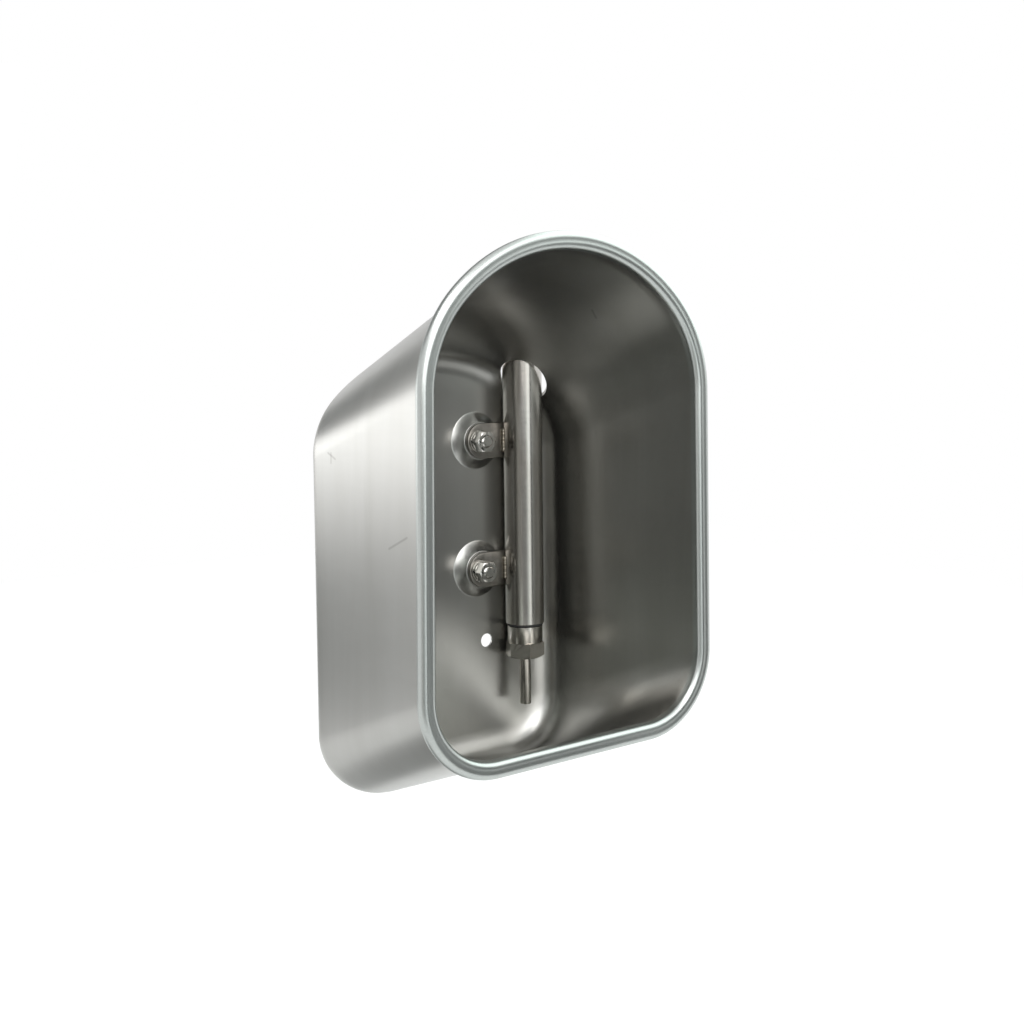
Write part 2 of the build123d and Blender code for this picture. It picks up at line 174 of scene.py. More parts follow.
rim_profile = [(0.0, rim_straight * i / 3) for i in range(1, 4)]
rim_heading = math.pi / 2
for radius, turn, side, count in (
    (rim_bend_radius, rim_bend_turn, 1, 14),
    (rim_dip_radius, rim_dip_turn, -1, 7),
    (rim_bead_radius, rim_bead_turn, 1, 22),
):
    more, rim_heading = bend_points(rim_profile[-1], rim_heading, radius, turn, side, count)
    rim_profile += more
wall_depth = bowl_depth - max(forward_reach for _, forward_reach in rim_profile)

mouth_ring = outline(mouth, 0.0)
back_ring = outline(back, -sheet)


def inward(ring, i):
    """Unit normal of a closed ring at a point, towards its inside."""
    ahead, behind = ring[(i + 1) % len(ring)], ring[i - 1]
    run = Vector((ahead[0] - behind[0], ahead[1] - behind[1])).normalized()
    return Vector((-run.y, run.x))


def wall_section(i):
    """Points from the flat of the back, round the edge and along the wall to the mouth."""
    corner = Vector((back_ring[i][0], -sheet, back_ring[i][1]))
    front = Vector((mouth_ring[i][0], -wall_depth, mouth_ring[i][1]))
    normal = inward(back_ring, i)
    across = Vector((normal.x, 0.0, normal.y))
    along = (front - corner).normalized()
    between = across.angle(along)
    radius = back_edge_radius - sheet
    reach = radius / math.tan(between / 2)
    bisector = (across + along).normalized()
    centre = corner + bisector * (radius / math.sin(between / 2))
    start = corner + across * reach - centre
    turn = math.pi - between
    axis = across.cross(along).normalized()
    points = [
        centre + Matrix.Rotation(-turn * k / back_edge_steps, 3, axis) @ start
        for k in range(back_edge_steps + 1)
    ]
    tangent = points[-1]
    points += [tangent + (front - tangent) * (k / wall_steps) for k in range(1, wall_steps + 1)]
    return points


def boss_profile():
    """Radius and height from the boss's flat, down its hollow flank, to the flat of the back."""
    flank_radius = (boss_base_radius - boss_flat_radius) / (math.sin(flank_top) - math.sin(flank_foot))
    points = []
    for k in range(7):
        tilt = flank_top * k / 6
        points.append((
            boss_flat_radius - boss_flat_rounding * (math.sin(flank_top) - math.sin(tilt)),
            boss_height - boss_flat_rounding * (1 - math.cos(tilt)),
        ))
    top = points[-1][1]
    fall = flank_radius * (math.cos(flank_foot) - math.cos(flank_top))
    for k in range(1, 15):
        tilt = flank_top + (flank_foot - flank_top) * k / 14
        points.append((
            boss_flat_radius + flank_radius * (math.sin(flank_top) - math.sin(tilt)),
            top * (1 - flank_radius * (math.cos(tilt) - math.cos(flank_top)) / fall),
        ))
    points.append((boss_base_radius + boss_foot_band, 0.0))
    return points


def ring_of_verts(mesh, x, z, radius, y, turns):
    """Circle of vertices about an axis along Y."""
    return [
        mesh.verts.new((
            x + radius * math.cos(math.tau * i / turns),
            y,
            z + radius * math.sin(math.tau * i / turns),
        ))
        for i in range(turns)
    ]


def bridge(mesh, near, far):
    """Faces between two closed rings of vertices of the same count."""
    for i in range(len(near)):
        j = (i + 1) % len(near)
        mesh.faces.new((near[i], far[i], far[j], near[j]))


def fill_between(mesh, loops, **options):
    """Flat faces inside the first closed loop of vertices and outside the others."""
    edges = []
    for loop in loops:
        for i, vert in enumerate(loop):
            after = loop[(i + 1) % len(loop)]
            edges.append(mesh.edges.get((vert, after)) or mesh.edges.new((vert, after)))
    bmesh.ops.triangle_fill(mesh, use_beauty=True, edges=edges, **options)


def bowl_skin():
    """The skin's inner and front face as one open surface with its holes."""
    mesh = bmesh.new()
    sections = [wall_section(i) for i in range(len(mouth_ring))]
    rings = [[mesh.verts.new(section[k]) for section in sections] for k in range(len(sections[0]))]
    for outward, ahead in rim_profile:
        rings.append([mesh.verts.new((x, -wall_depth - ahead, z)) for x, z in outline(mouth, outward)])
    for near, far in zip(rings, rings[1:]):
        bridge(mesh, near, far)
    loops = [rings[0]]
    for z in bolt_levels:
        circles = [ring_of_verts(mesh, bolt_x, z, bolt_hole_radius, -sheet - boss_height, boss_turns)]
        for radius, height in boss_profile():
            circles.append(ring_of_verts(mesh, boss_x, z, radius, -sheet - height, boss_turns))
        for near, far in zip(circles, circles[1:]):
            bridge(mesh, near, far)
        loops.append(circles[-1])
    loops.append(ring_of_verts(mesh, *wall_hole_place, wall_hole_radius, -sheet, small_hole_turns))
    fill_between(mesh, loops, normal=(0, -1, 0))
    bmesh.ops.recalc_face_normals(mesh, faces=mesh.faces[:])
    back_flat = [face for face in mesh.faces if abs(face.calc_center_median().y + sheet) < 1e-5]
    if sum(face.normal.y for face in back_flat) > 0:
        bmesh.ops.reverse_faces(mesh, faces=mesh.faces[:])
    return mesh


def plain_mesh(name, mesh):
    """An object at the origin from a finished bmesh."""
    data = bpy.data.meshes.new(name)
    mesh.to_mesh(data)
    mesh.free()
    made = bpy.data.objects.new(name, data)
    bpy.context.scene.collection.objects.link(made)
    return made


def settle(piece, sharp=math.radians(38)):
    """The piece's modifiers become its mesh, smooth but for edges sharper than the angle."""
    view = bpy.context.evaluated_depsgraph_get()
    done = bpy.data.meshes.new_from_object(piece.evaluated_get(view))
    piece.modifiers.clear()
    piece.data = done
    done.shade_smooth()
    done.set_sharp_from_angle(angle=sharp)


def cut_with(piece, other, operation):
    """Boolean of a piece with another object, which is used up."""
    step = piece.modifiers.new(operation.lower(), "BOOLEAN")
    step.object = other
    step.operation = operation
    step.solver = "EXACT"
    settle(piece)
    bpy.data.objects.remove(other)


def cylinder(name, x, y, low, high, radius, segments=96):
    """Upright closed cylinder."""
    mesh = bmesh.new()
    bmesh.ops.create_cone(
        mesh, cap_ends=True, segments=segments, radius1=radius, radius2=radius, depth=high - low
    )
    bmesh.ops.translate(mesh, vec=(x, y, (low + high) / 2), verts=mesh.verts)
    return plain_mesh(name, mesh)


bowl = plain_mesh("drawn_bowl", bowl_skin())
thicken = bowl.modifiers.new("sheet", "SOLIDIFY")
thicken.thickness = sheet
thicken.offset = -1.0
thicken.use_even_offset = True
thicken.use_quality_normals = True
settle(bowl)
cut_with(bowl, cylinder("hood_hole", *hood_hole_place, *hood_hole_span, hood_hole_radius), "DIFFERENCE")


def socket(group, name, kind, value=None, side="INPUT"):
    """A named input or output of a node group."""
    made = group.interface.new_socket(name=name, in_out=side, socket_type=kind)
    if value is not None:
        made.default_value = value
    return made


def feed(links, slot, value):
    """A node's input takes another node's output or a plain value."""
    if isinstance(value, bpy.types.NodeSocket):
        links.new(value, slot)
    else:
        slot.default_value = value


def math_node(tree, operation, *inputs):
    """Result of one sum on node outputs or plain numbers."""
    node = tree.nodes.new("ShaderNodeMath")
    node.operation = operation
    for slot, value in zip(node.inputs, inputs):
        feed(tree.links, slot, value)
    return node.outputs["Value"]


def stretched(tree, vector, scale):
    """The vector times three factors."""
    node = tree.nodes.new("ShaderNodeVectorMath")
    node.operation = "MULTIPLY"
    feed(tree.links, node.inputs[0], vector)
    feed(tree.links, node.inputs[1], scale)
    return node.outputs["Vector"]


def noise_node(tree, vector, detail=3.0, roughness=0.5, distortion=0.0):
    """Noise about 1 m across, so that the vector's factors are lumps per metre."""
    node = tree.nodes.new("ShaderNodeTexNoise")
    node.inputs["Scale"].default_value = 1.0
    node.inputs["Detail"].default_value = detail
    node.inputs["Roughness"].default_value = roughness
    node.inputs["Distortion"].default_value = distortion
    feed(tree.links, node.inputs["Vector"], vector)
    return node.outputs["Fac"]


def span_node(tree, value, low, high, out_low=0.0, out_high=1.0):
    """The span low..high of a value stretched to out_low..out_high, and held there beyond it."""
    node = tree.nodes.new("ShaderNodeMapRange")
    node.inputs["From Min"].default_value = low
    node.inputs["From Max"].default_value = high
    node.inputs["To Min"].default_value = out_low
    node.inputs["To Max"].default_value = out_high
    feed(tree.links, node.inputs["Value"], value)
    return node.outputs["Result"]


def colour_mix(tree, factor, first, second):
    """The first colour where the factor is 0, the second where it is 1."""
    node = tree.nodes.new("ShaderNodeMix")
    node.data_type = "RGBA"
    feed(tree.links, node.inputs["Factor"], factor)
    for slot, colour in (("A", first), ("B", second)):
        feed(tree.links, node.inputs[slot], (*colour, 1) if isinstance(colour, tuple) else colour)
    return node.outputs["Result"]


def satin_marks():
    """Colour, roughness and height of bare steel: a cloudy stain and fine marks along one way."""
    group = bpy.data.node_groups.new("satin_marks", "ShaderNodeTree")
    for name, kind, side in (
        ("Vector", "NodeSocketVector", "INPUT"),
        ("Steel", "NodeSocketColor", "INPUT"),
        ("Stain", "NodeSocketColor", "INPUT"),
        ("Stain Scale", "NodeSocketVector", "INPUT"),
        ("Stain Amount", "NodeSocketFloat", "INPUT"),
        ("Roughness", "NodeSocketFloat", "INPUT"),
        ("Roughness Spread", "NodeSocketFloat", "INPUT"),
        ("Mark Scale", "NodeSocketVector", "INPUT"),
        ("Color", "NodeSocketColor", "OUTPUT"),
        ("Roughness", "NodeSocketFloat", "OUTPUT"),
        ("Height", "NodeSocketFloat", "OUTPUT"),
    ):
        socket(group, name, kind, side=side)
    inside = group.nodes.new("NodeGroupInput").outputs
    outside = group.nodes.new("NodeGroupOutput").inputs
    cloud = noise_node(group, stretched(group, inside["Vector"], inside["Stain Scale"]), 4.0, 0.55, 0.6)
    amount = math_node(group, "MULTIPLY", span_node(group, cloud, 0.35, 0.70), inside["Stain Amount"])
    group.links.new(colour_mix(group, amount, inside["Steel"], inside["Stain"]), outside["Color"])
    marks = noise_node(group, stretched(group, inside["Vector"], inside["Mark Scale"]))
    group.links.new(marks, outside["Height"])
    uneven = math_node(group, "SUBTRACT", marks, 0.5)
    rough = math_node(group, "MULTIPLY_ADD", uneven, inside["Roughness Spread"], inside["Roughness"])
    group.links.new(rough, outside["Roughness"])
    return group


marks_group = satin_marks()


def marks_node(tree, vector, look):
    """The marks group in a material, fed from a look's named values."""
    node = tree.nodes.new("ShaderNodeGroup")
    node.node_tree = marks_group
    tree.links.new(vector, node.inputs["Vector"])
    node.inputs["Steel"].default_value = (*look["steel"], 1)
    node.inputs["Stain"].default_value = (*look["stain"], 1)
    node.inputs["Stain Scale"].default_value = look["stain_scale"]
    node.inputs["Stain Amount"].default_value = look["stain_amount"]
    node.inputs["Roughness"].default_value = look["roughness"]
    node.inputs["Roughness Spread"].default_value = look["spread"]
    node.inputs["Mark Scale"].default_value = look["mark_scale"]
    return node


def new_material(name):
    """A new material, its node tree and its shader."""
    material = bpy.data.materials.new(name)
    material.use_nodes = True
    shader = material.node_tree.nodes["Principled BSDF"]
    return material, material.node_tree, shader


def bump_into(tree, shader, height, depth):
    """Fine relief on a shader: a height of 1 stands the depth proud."""
    bump = tree.nodes.new("ShaderNodeBump")
    bump.inputs["Strength"].default_value = 1.0
    bump.inputs["Distance"].default_value = depth
    tree.links.new(height, bump.inputs["Height"])
    tree.links.new(bump.outputs["Normal"], shader.inputs["Normal"])


def object_place(tree):
    """Place on the piece in the frame's own metres."""
    return tree.nodes.new("ShaderNodeTexCoord").outputs["Object"]


def steel(name, look):
    """Bare metal with the marks of one look."""
    material, tree, shader = new_material(name)
    shader.inputs["Metallic"].default_value = 1.0
    marks = marks_node(tree, object_place(tree), look)
    tree.links.new(marks.outputs["Color"], shader.inputs["Base Color"])
    tree.links.new(marks.outputs["Roughness"], shader.inputs["Roughness"])
    bump_into(tree, shader, marks.outputs["Height"], look["depth"])
    return material


def finish(piece, material, body, slot, *replaced):
    """A finished piece takes its material, its body and the CAD nodes that it stands for."""
    piece.data.materials.clear()
    piece.data.materials.append(material)
    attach(piece, body)
    if replaced:
        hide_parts(*replaced)


def line_mask(tree, place, start, end, half_width):
    """1 on a fine line between two places, 0 away from it."""
    start, end = Vector(start), Vector(end)
    run = end - start
    offset = tree.nodes.new("ShaderNodeVectorMath")
    offset.operation = "SUBTRACT"
    tree.links.new(place, offset.inputs[0])
    offset.inputs[1].default_value = start
    along = tree.nodes.new("ShaderNodeVectorMath")
    along.operation = "DOT_PRODUCT"
    tree.links.new(offset.outputs["Vector"], along.inputs[0])
    along.inputs[1].default_value = run / run.length_squared
    share = math_node(tree, "MINIMUM", math_node(tree, "MAXIMUM", along.outputs["Value"], 0.0), 1.0)
    nearest = tree.nodes.new("ShaderNodeVectorMath")
    nearest.operation = "SCALE"
    nearest.inputs[0].default_value = run
    tree.links.new(share, nearest.inputs["Scale"])
    gap = tree.nodes.new("ShaderNodeVectorMath")
    gap.operation = "DISTANCE"
    tree.links.new(offset.outputs["Vector"], gap.inputs[0])
    tree.links.new(nearest.outputs["Vector"], gap.inputs[1])
    return span_node(tree, gap.outputs["Value"], half_width * 0.4, half_width, 1.0, 0.0)


wall_look = {
    "steel": (0.457, 0.457, 0.440), "stain": (0.395, 0.39, 0.37), "stain_scale": (24.0, 34.0, 4.0),
    "stain_amount": 0.6, "roughness": 0.31, "spread": 0.05, "mark_scale": (25.0, 25.0, 700.0),
    "depth": 0.0000006,
}
rim_look = {
    "steel": (0.49, 0.515, 0.50), "stain": (0.36, 0.38, 0.37), "stain_scale": (900.0, 900.0, 900.0),
    "stain_amount": 0.3, "roughness": 0.34, "spread": 0.04, "mark_scale": (500.0, 500.0, 500.0),
}
rim_zone = (-0.1445, -0.1462)
scratch_colour = (0.15, 0.14, 0.13)
scratch_half_width = 0.0009
scratch_strength = 0.35
scratches = (
    ((-0.0947, -0.0334, 0.1768), (-0.0948, -0.0424, 0.1735)),
    ((-0.0947, -0.0372, 0.1768), (-0.0948, -0.0370, 0.1709)),
    ((-0.0964, -0.1040, 0.1269), (-0.0966, -0.1234, 0.1349)),
    ((0.0516, -0.1034, 0.2602), (0.0574, -0.1004, 0.2557)),
)


def drawn_steel():
    """Pickled sheet: satin walls, a mottled rolled rim and a few faint scratches."""
    material, tree, shader = new_material("drawn_steel")
    shader.inputs["Metallic"].default_value = 1.0
    place = object_place(tree)
    wall = marks_node(tree, place, wall_look)
    rim = marks_node(tree, place, rim_look)
    depth_axis = tree.nodes.new("ShaderNodeSeparateXYZ")
    tree.links.new(place, depth_axis.inputs["Vector"])
    on_rim = span_node(tree, depth_axis.outputs["Y"], *rim_zone)
    colour = colour_mix(tree, on_rim, wall.outputs["Color"], rim.outputs["Color"])
    rough = tree.nodes.new("ShaderNodeMix")
    tree.links.new(on_rim, rough.inputs["Factor"])
    tree.links.new(wall.outputs["Roughness"], rough.inputs["A"])
    tree.links.new(rim.outputs["Roughness"], rough.inputs["B"])
    for start, end in scratches:
        line = line_mask(tree, place, start, end, scratch_half_width)
        mark = math_node(tree, "MULTIPLY", line, scratch_strength)
        colour = colour_mix(tree, mark, colour, scratch_colour)
    tree.links.new(colour, shader.inputs["Base Color"])
    tree.links.new(rough.outputs["Result"], shader.inputs["Roughness"])
    bump_into(tree, shader, wall.outputs["Height"], wall_look["depth"])
    return material


finish(bowl, drawn_steel(), "bowl", "drawn_steel", "bowl_shell")

# ---- supply pipe -----------------------------------------------------------------------------
# Three-quarter inch stainless pipe, ground crosswise. The water line screws onto its upper end,
# and it comes down into the bowl through an oversize hole in the hood.

pipe_x, pipe_y = 0.0635, -0.016
pipe_end = 0.0514
pipe_top = 0.284
pipe_radius = 0.01345
pipe_bore_radius = 0.0095
pipe_bottom_chamfer = 0.0004
thread_run_in = 0.0002
inlet_thread = {"radius": 0.0132, "length": 0.016, "pitch": 0.001814, "depth": 0.00116, "chamfer": 0.0015}
valve_thread = {"radius": 0.0104, "length": 0.014, "pitch": 0.001814, "depth": 0.00116, "chamfer": 0.0012}
valve_thread_gap = 0.0001
rows_per_pitch = 10
crest_share = 0.125
flank_share = 0.75
lathe_segments = 96


def thread_rows(thread, low, high):
    """Rows (radius, height, cut) of a thread between two heights, fading out at the low end."""
    rows = []
    count = math.ceil((high - low) / thread["pitch"] * rows_per_pitch)
    for i in range(count + 1):
        height = low + (high - low) * i / count
        fade = min((height - low) / thread["pitch"], 1.0)
        past_chamfer = max(height - (high - thread["chamfer"]), 0.0)
        cut = max(thread["depth"] * fade - past_chamfer, 0.0)
        rows.append((thread["radius"] - past_chamfer, height, cut))
    return rows


def thread_cut(turn):
    """Share of the thread's depth along one pitch: 0 on the crest, 1 in the root."""
    climb = abs(2 * (turn % 1.0) - 1)
    return min(max((climb - crest_share) / flank_share, 0.0), 1.0)


def turned_mesh(section, segments=lathe_segments, pitch=1.0):
    """Lathe work about Z: a closed section of (radius, height) or (radius, height, cut) points."""
    mesh = bmesh.new()
    rings = []
    for point in section:
        radius, height = point[:2]
        cut = point[2] if len(point) > 2 else 0.0
        if radius == 0.0:
            rings.append([mesh.verts.new((0, 0, height))])
            continue
        ring = []
        for i in range(segments):
            angle = math.tau * i / segments
            reach = radius - cut * thread_cut(height / pitch - i / segments)
            ring.append(mesh.verts.new((reach * math.cos(angle), reach * math.sin(angle), height)))
        rings.append(ring)
    for near, far in zip(rings, rings[1:] + rings[:1]):
        if len(near) == 1 and len(far) == 1:
            continue
        for i in range(segments):
            j = (i + 1) % segments
            corners = [near[i % len(near)], near[j % len(near)], far[j % len(far)], far[i % len(far)]]
            mesh.faces.new(list(dict.fromkeys(corners)))
    bmesh.ops.recalc_face_normals(mesh, faces=mesh.faces[:])
    return mesh


def placed(mesh, matrix):
    """The mesh moved to its place in the frame."""
    bmesh.ops.transform(mesh, matrix=matrix, verts=mesh.verts)
    return mesh


def smooth(piece, sharp=math.radians(32)):
    """Smooth shading but for the edges sharper than the angle."""
    piece.data.shade_smooth()
    piece.data.set_sharp_from_angle(angle=sharp)
    return piece


pipe_axis_place = Matrix.Translation((pipe_x, pipe_y, 0.0))
shoulder = pipe_top - inlet_thread["length"]
socket_top = pipe_end + valve_thread["length"]
socket_radius = valve_thread["radius"] + valve_thread_gap
pipe_section = [
    (pipe_bore_radius, socket_top),
    (socket_radius, socket_top),
    (socket_radius, pipe_end),
    (pipe_radius - pipe_bottom_chamfer, pipe_end),
    (pipe_radius, pipe_end + pipe_bottom_chamfer),
    (pipe_radius, shoulder - thread_run_in),
    *thread_rows(inlet_thread, shoulder, pipe_top),
    (pipe_bore_radius, pipe_top),
]
pipe_mesh = placed(turned_mesh(pipe_section, pitch=inlet_thread["pitch"]), pipe_axis_place)
pipe = smooth(plain_mesh("ground_pipe", pipe_mesh))
pipe_look = {
    "steel": (0.53, 0.515, 0.485), "stain": (0.35, 0.315, 0.28), "stain_scale": (70.0, 70.0, 14.0),
    "stain_amount": 0.75, "roughness": 0.21, "spread": 0.16, "mark_scale": (80.0, 80.0, 1000.0),
    "depth": 0.00002,
}
finish(pipe, steel("pipe_steel", pipe_look), "bowl", "pipe_steel", "supply_pipe")

# ---- brackets --------------------------------------------------------------------------------
# Two flat tabs with a round end, cut from plate and coped to the pipe, carry the pipe on the
# pressed bosses. Their edges keep the soft burr of a tumbled blank.

tab_back = -sheet - boss_height
tab_thickness = 0.003
tab_front = tab_back - tab_thickness
tab_half_width = 0.012
tab_edge = 0.00035
tab_end_steps = 40


def pipe_side(y):
    """Where a tab's face at this depth meets the near side of the pipe."""
    return pipe_x - math.sqrt(pipe_radius**2 - (y - pipe_y) ** 2)


def tab_mesh(level):
    """One tab as a prism: round end, long edges to the pipe, and its bolt hole."""
    mesh = bmesh.new()
    faces = []
    for y in (tab_back, tab_front):
        foot = mesh.verts.new((pipe_side(y), y, level - tab_half_width))
        loop = []
        for k in range(tab_end_steps + 1):
            angle = math.pi / 2 + math.pi * k / tab_end_steps
            end_x = boss_x + tab_half_width * math.cos(angle)
            loop.append(mesh.verts.new((end_x, y, level + tab_half_width * math.sin(angle))))
        loop.append(foot)
        loop.append(mesh.verts.new((pipe_side(y), y, level + tab_half_width)))
        faces.append((loop, ring_of_verts(mesh, bolt_x, level, bolt_hole_radius, y, small_hole_turns)))
    (near_edge, near_hole), (far_edge, far_hole) = faces
    bridge(mesh, near_edge, far_edge)
    bridge(mesh, near_hole, far_hole)
    for loops in faces:
        fill_between(mesh, loops)
    bmesh.ops.recalc_face_normals(mesh, faces=mesh.faces[:])
    return mesh


plate_look = {
    "steel": (0.29, 0.275, 0.25), "stain": (0.19, 0.18, 0.165), "stain_scale": (160.0, 160.0, 160.0),
    "stain_amount": 0.6, "roughness": 0.33, "spread": 0.12, "mark_scale": (500.0, 500.0, 900.0),
    "depth": 0.000004,
}
plate_steel = steel("plate_steel", plate_look)
for name, level in zip(("upper_tab", "lower_tab"), bolt_levels):
    tab = plain_mesh(f"{name}_plate", tab_mesh(level))
    edge = tab.modifiers.new("edge", "BEVEL")
    edge.width = tab_edge
    edge.segments = 2
    edge.limit_method = "ANGLE"
    edge.angle_limit = math.radians(40)
    settle(tab, math.radians(50))
    finish(tab, plate_steel, "bowl", "plate_steel", name)

# ---- weld beads ------------------------------------------------------------------------------
# A short fillet bead on either side of each tab. Each is a row of overlapping drops, laid by
# Geometry Nodes and melted into one skin.

weld_radius = 0.0022
weld_length = 0.017
drop_spacing = 0.0011
drop_least_size = 0.88
weld_seed = 7
weld_grain = 0.00018


def bead_nodes(material):
    """Geometry Nodes: drops of slightly uneven size in a row along each line."""
    group = bpy.data.node_groups.new("weld_bead", "GeometryNodeTree")
    socket(group, "Geometry", "NodeSocketGeometry")
    spacing_id = socket(group, "Spacing", "NodeSocketFloat", drop_spacing).identifier
    radius_id = socket(group, "Radius", "NodeSocketFloat", weld_radius).identifier
    seed_id = socket(group, "Seed", "NodeSocketInt", weld_seed).identifier
    socket(group, "Geometry", "NodeSocketGeometry", side="OUTPUT")
    nodes, links = group.nodes, group.links
    inside = nodes.new("NodeGroupInput").outputs
    outside = nodes.new("NodeGroupOutput").inputs
    curve = nodes.new("GeometryNodeMeshToCurve")
    links.new(inside["Geometry"], curve.inputs["Mesh"])
    places = nodes.new("GeometryNodeCurveToPoints")
    places.mode = "LENGTH"
    links.new(curve.outputs["Curve"], places.inputs["Curve"])
    links.new(inside["Spacing"], places.inputs["Length"])
    drop = nodes.new("GeometryNodeMeshUVSphere")
    drop.inputs["Segments"].default_value = 20
    drop.inputs["Rings"].default_value = 12
    links.new(inside["Radius"], drop.inputs["Radius"])
    scale = nodes.new("FunctionNodeRandomValue")
    scale.data_type = "FLOAT"
    scale.inputs[2].default_value = drop_least_size
    scale.inputs[3].default_value = 1.0
    links.new(inside["Seed"], scale.inputs["Seed"])
    laid = nodes.new("GeometryNodeInstanceOnPoints")
    links.new(places.outputs["Points"], laid.inputs["Points"])
    links.new(drop.outputs["Mesh"], laid.inputs["Instance"])
    links.new(scale.outputs[1], laid.inputs["Scale"])
    real = nodes.new("GeometryNodeRealizeInstances")
    links.new(laid.outputs["Instances"], real.inputs["Geometry"])
    paint = nodes.new("GeometryNodeSetMaterial")
    paint.inputs["Material"].default_value = material
    links.new(real.outputs["Geometry"], paint.inputs["Geometry"])
    links.new(paint.outputs["Geometry"], outside["Geometry"])
    return group, spacing_id, radius_id, seed_id


weld_look = {
    "steel": (0.36, 0.33, 0.28), "stain": (0.20, 0.16, 0.12), "stain_scale": (220.0, 220.0, 220.0),
    "stain_amount": 0.8, "roughness": 0.30, "spread": 0.10, "mark_scale": (700.0, 700.0, 700.0),
    "depth": 0.000006,
}
weld_steel = steel("weld_steel", weld_look)
weld_lines = bmesh.new()
half_run = weld_length / 2 - weld_radius
for level in bolt_levels:
    for y in (tab_back, tab_front):
        low = weld_lines.verts.new((pipe_side(y), y, level - half_run))
        high = weld_lines.verts.new((pipe_side(y), y, level + half_run))
        weld_lines.edges.new((low, high))
welds = plain_mesh("weld_beads", weld_lines)
bead_group, spacing_id, radius_id, seed_id = bead_nodes(weld_steel)
laying = welds.modifiers.new("beads", "NODES")
laying.node_group = bead_group
laying[spacing_id] = drop_spacing
laying[radius_id] = weld_radius
laying[seed_id] = weld_seed
melt = welds.modifiers.new("melt", "REMESH")
melt.mode = "VOXEL"
melt.voxel_size = weld_grain
settle(welds, math.radians(80))
finish(welds, weld_steel, "bowl", "weld_steel", "tab_welds")

# ---- fasteners -------------------------------------------------------------------------------
# An M8 bolt comes through each boss from behind; a plain washer, a split lock washer and a nut
# hold the tab against the boss.

bolt_radius = 0.004
bolt_seat = -boss_height
bolt_length = 0.016
bolt_root = 0.0005
bolt_root_chamfer = 0.0002
bolt_thread = {"radius": 0.00397, "length": 0.016, "pitch": 0.00125, "depth": 0.00068, "chamfer": 0.001}
bolt_segments = 48
head_width = 0.013
head_height = 0.0053
head_chamfer = 0.0008
head_clear = 0.0004
head_chamfer_height = head_chamfer / 1.4 + 0.0003
washer_radius = 0.0075
washer_thickness = 0.0016
lock_radius = 0.007
lock_thickness = 0.002
lock_slit = 0.00096
lock_slit_length = 1.8 * lock_radius
lock_slit_height = 0.02
lock_slit_turn = math.radians(25)
nut_width = 0.013
nut_height = 0.0065
nut_chamfer = 0.0009
nut_clear = 0.0005
nut_chamfer_height = (nut_chamfer + nut_clear) * 0.6
nut_countersink = 0.0004
washer_softness = 0.0002


def out_of_wall(x, y, z):
    """Places work turned about Z so that its Z points out of the wall at (x, y, z)."""
    return Matrix.Translation((x, y, z)) @ Matrix.Rotation(math.pi / 2, 4, "X")


def across_corners(width):
    """Radius to the corners of a hexagon of this width across its flats."""
    return width / 2 / math.cos(math.pi / 6)


def prism(name, width, low, high, turn=0.0):
    """Hexagonal prism about Z, corners along X before the turn."""
    mesh = bmesh.new()
    corner = across_corners(width)
    place = Matrix.Translation((0, 0, (low + high) / 2)) @ Matrix.Rotation(turn + math.pi / 2, 4, "Z")
    bmesh.ops.create_cone(
        mesh, cap_ends=True, segments=6, radius1=corner, radius2=corner, depth=high - low, matrix=place
    )
    return plain_mesh(name, mesh)


def moved(piece, matrix):
    """The piece with its mesh moved and its own place kept at the origin."""
    piece.data.transform(matrix)
    return piece


def joined(name, pieces):
    """One object from several, which are used up."""
    mesh = bmesh.new()
    for piece in pieces:
        mesh.from_mesh(piece.data)
        bpy.data.objects.remove(piece)
    return smooth(plain_mesh(name, mesh))


def ring_section(inner, outer, low, high, soft):
    """Rectangular section of a washer, its outer corners softened."""
    return [
        (inner, low), (outer - soft, low), (outer, low + soft), (outer, high - soft),
        (outer - soft, high), (inner, high),
    ]


def bolt_at(x, z):
    """Head behind the boss with its corners chamfered, and the threaded shank through it."""
    corner = across_corners(head_width)
    head = prism("head", head_width, 0.0, head_height)
    blank = plain_mesh("blank", turned_mesh([
        (0.0, 0.0),
        (corner - head_chamfer, 0.0),
        (corner + head_clear, head_chamfer_height),
        (corner + head_clear, head_height),
        (0.0, head_height),
    ]))
    cut_with(head, blank, "INTERSECT")
    moved(head, out_of_wall(x, bolt_seat + head_height, z))
    section = [
        (0.0, -bolt_root),
        (bolt_radius - bolt_root_chamfer, -bolt_root),
        *thread_rows(bolt_thread, 0.0, bolt_length),
        (0.0, bolt_length),
    ]
    rod = turned_mesh(section, bolt_segments, bolt_thread["pitch"])
    return [head, plain_mesh("shank", placed(rod, out_of_wall(x, bolt_seat, z)))]


def plain_washer_at(x, z):
    """Flat washer on the tab."""
    section = ring_section(bolt_hole_radius, washer_radius, 0.0, washer_thickness, washer_softness)
    return [plain_mesh("washer", placed(turned_mesh(section), out_of_wall(x, tab_front, z)))]


def lock_washer_at(x, z):
    """Spring washer, slit at a slant."""
    section = ring_section(bolt_hole_radius, lock_radius, 0.0, lock_thickness, washer_softness)
    washer = plain_mesh("lock", turned_mesh(section))
    slit = bmesh.new()
    slit_place = (
        Matrix.Translation((-lock_radius, 0.0, lock_thickness / 2))
        @ Matrix.Rotation(lock_slit_turn, 4, "X")
        @ Matrix.Diagonal((lock_slit_length, lock_slit, lock_slit_height, 1))
    )
    bmesh.ops.create_cube(slit, size=1.0, matrix=slit_place)
    cut_with(washer, plain_mesh("slit", slit), "DIFFERENCE")
    return [moved(washer, out_of_wall(x, tab_front - washer_thickness, z))]


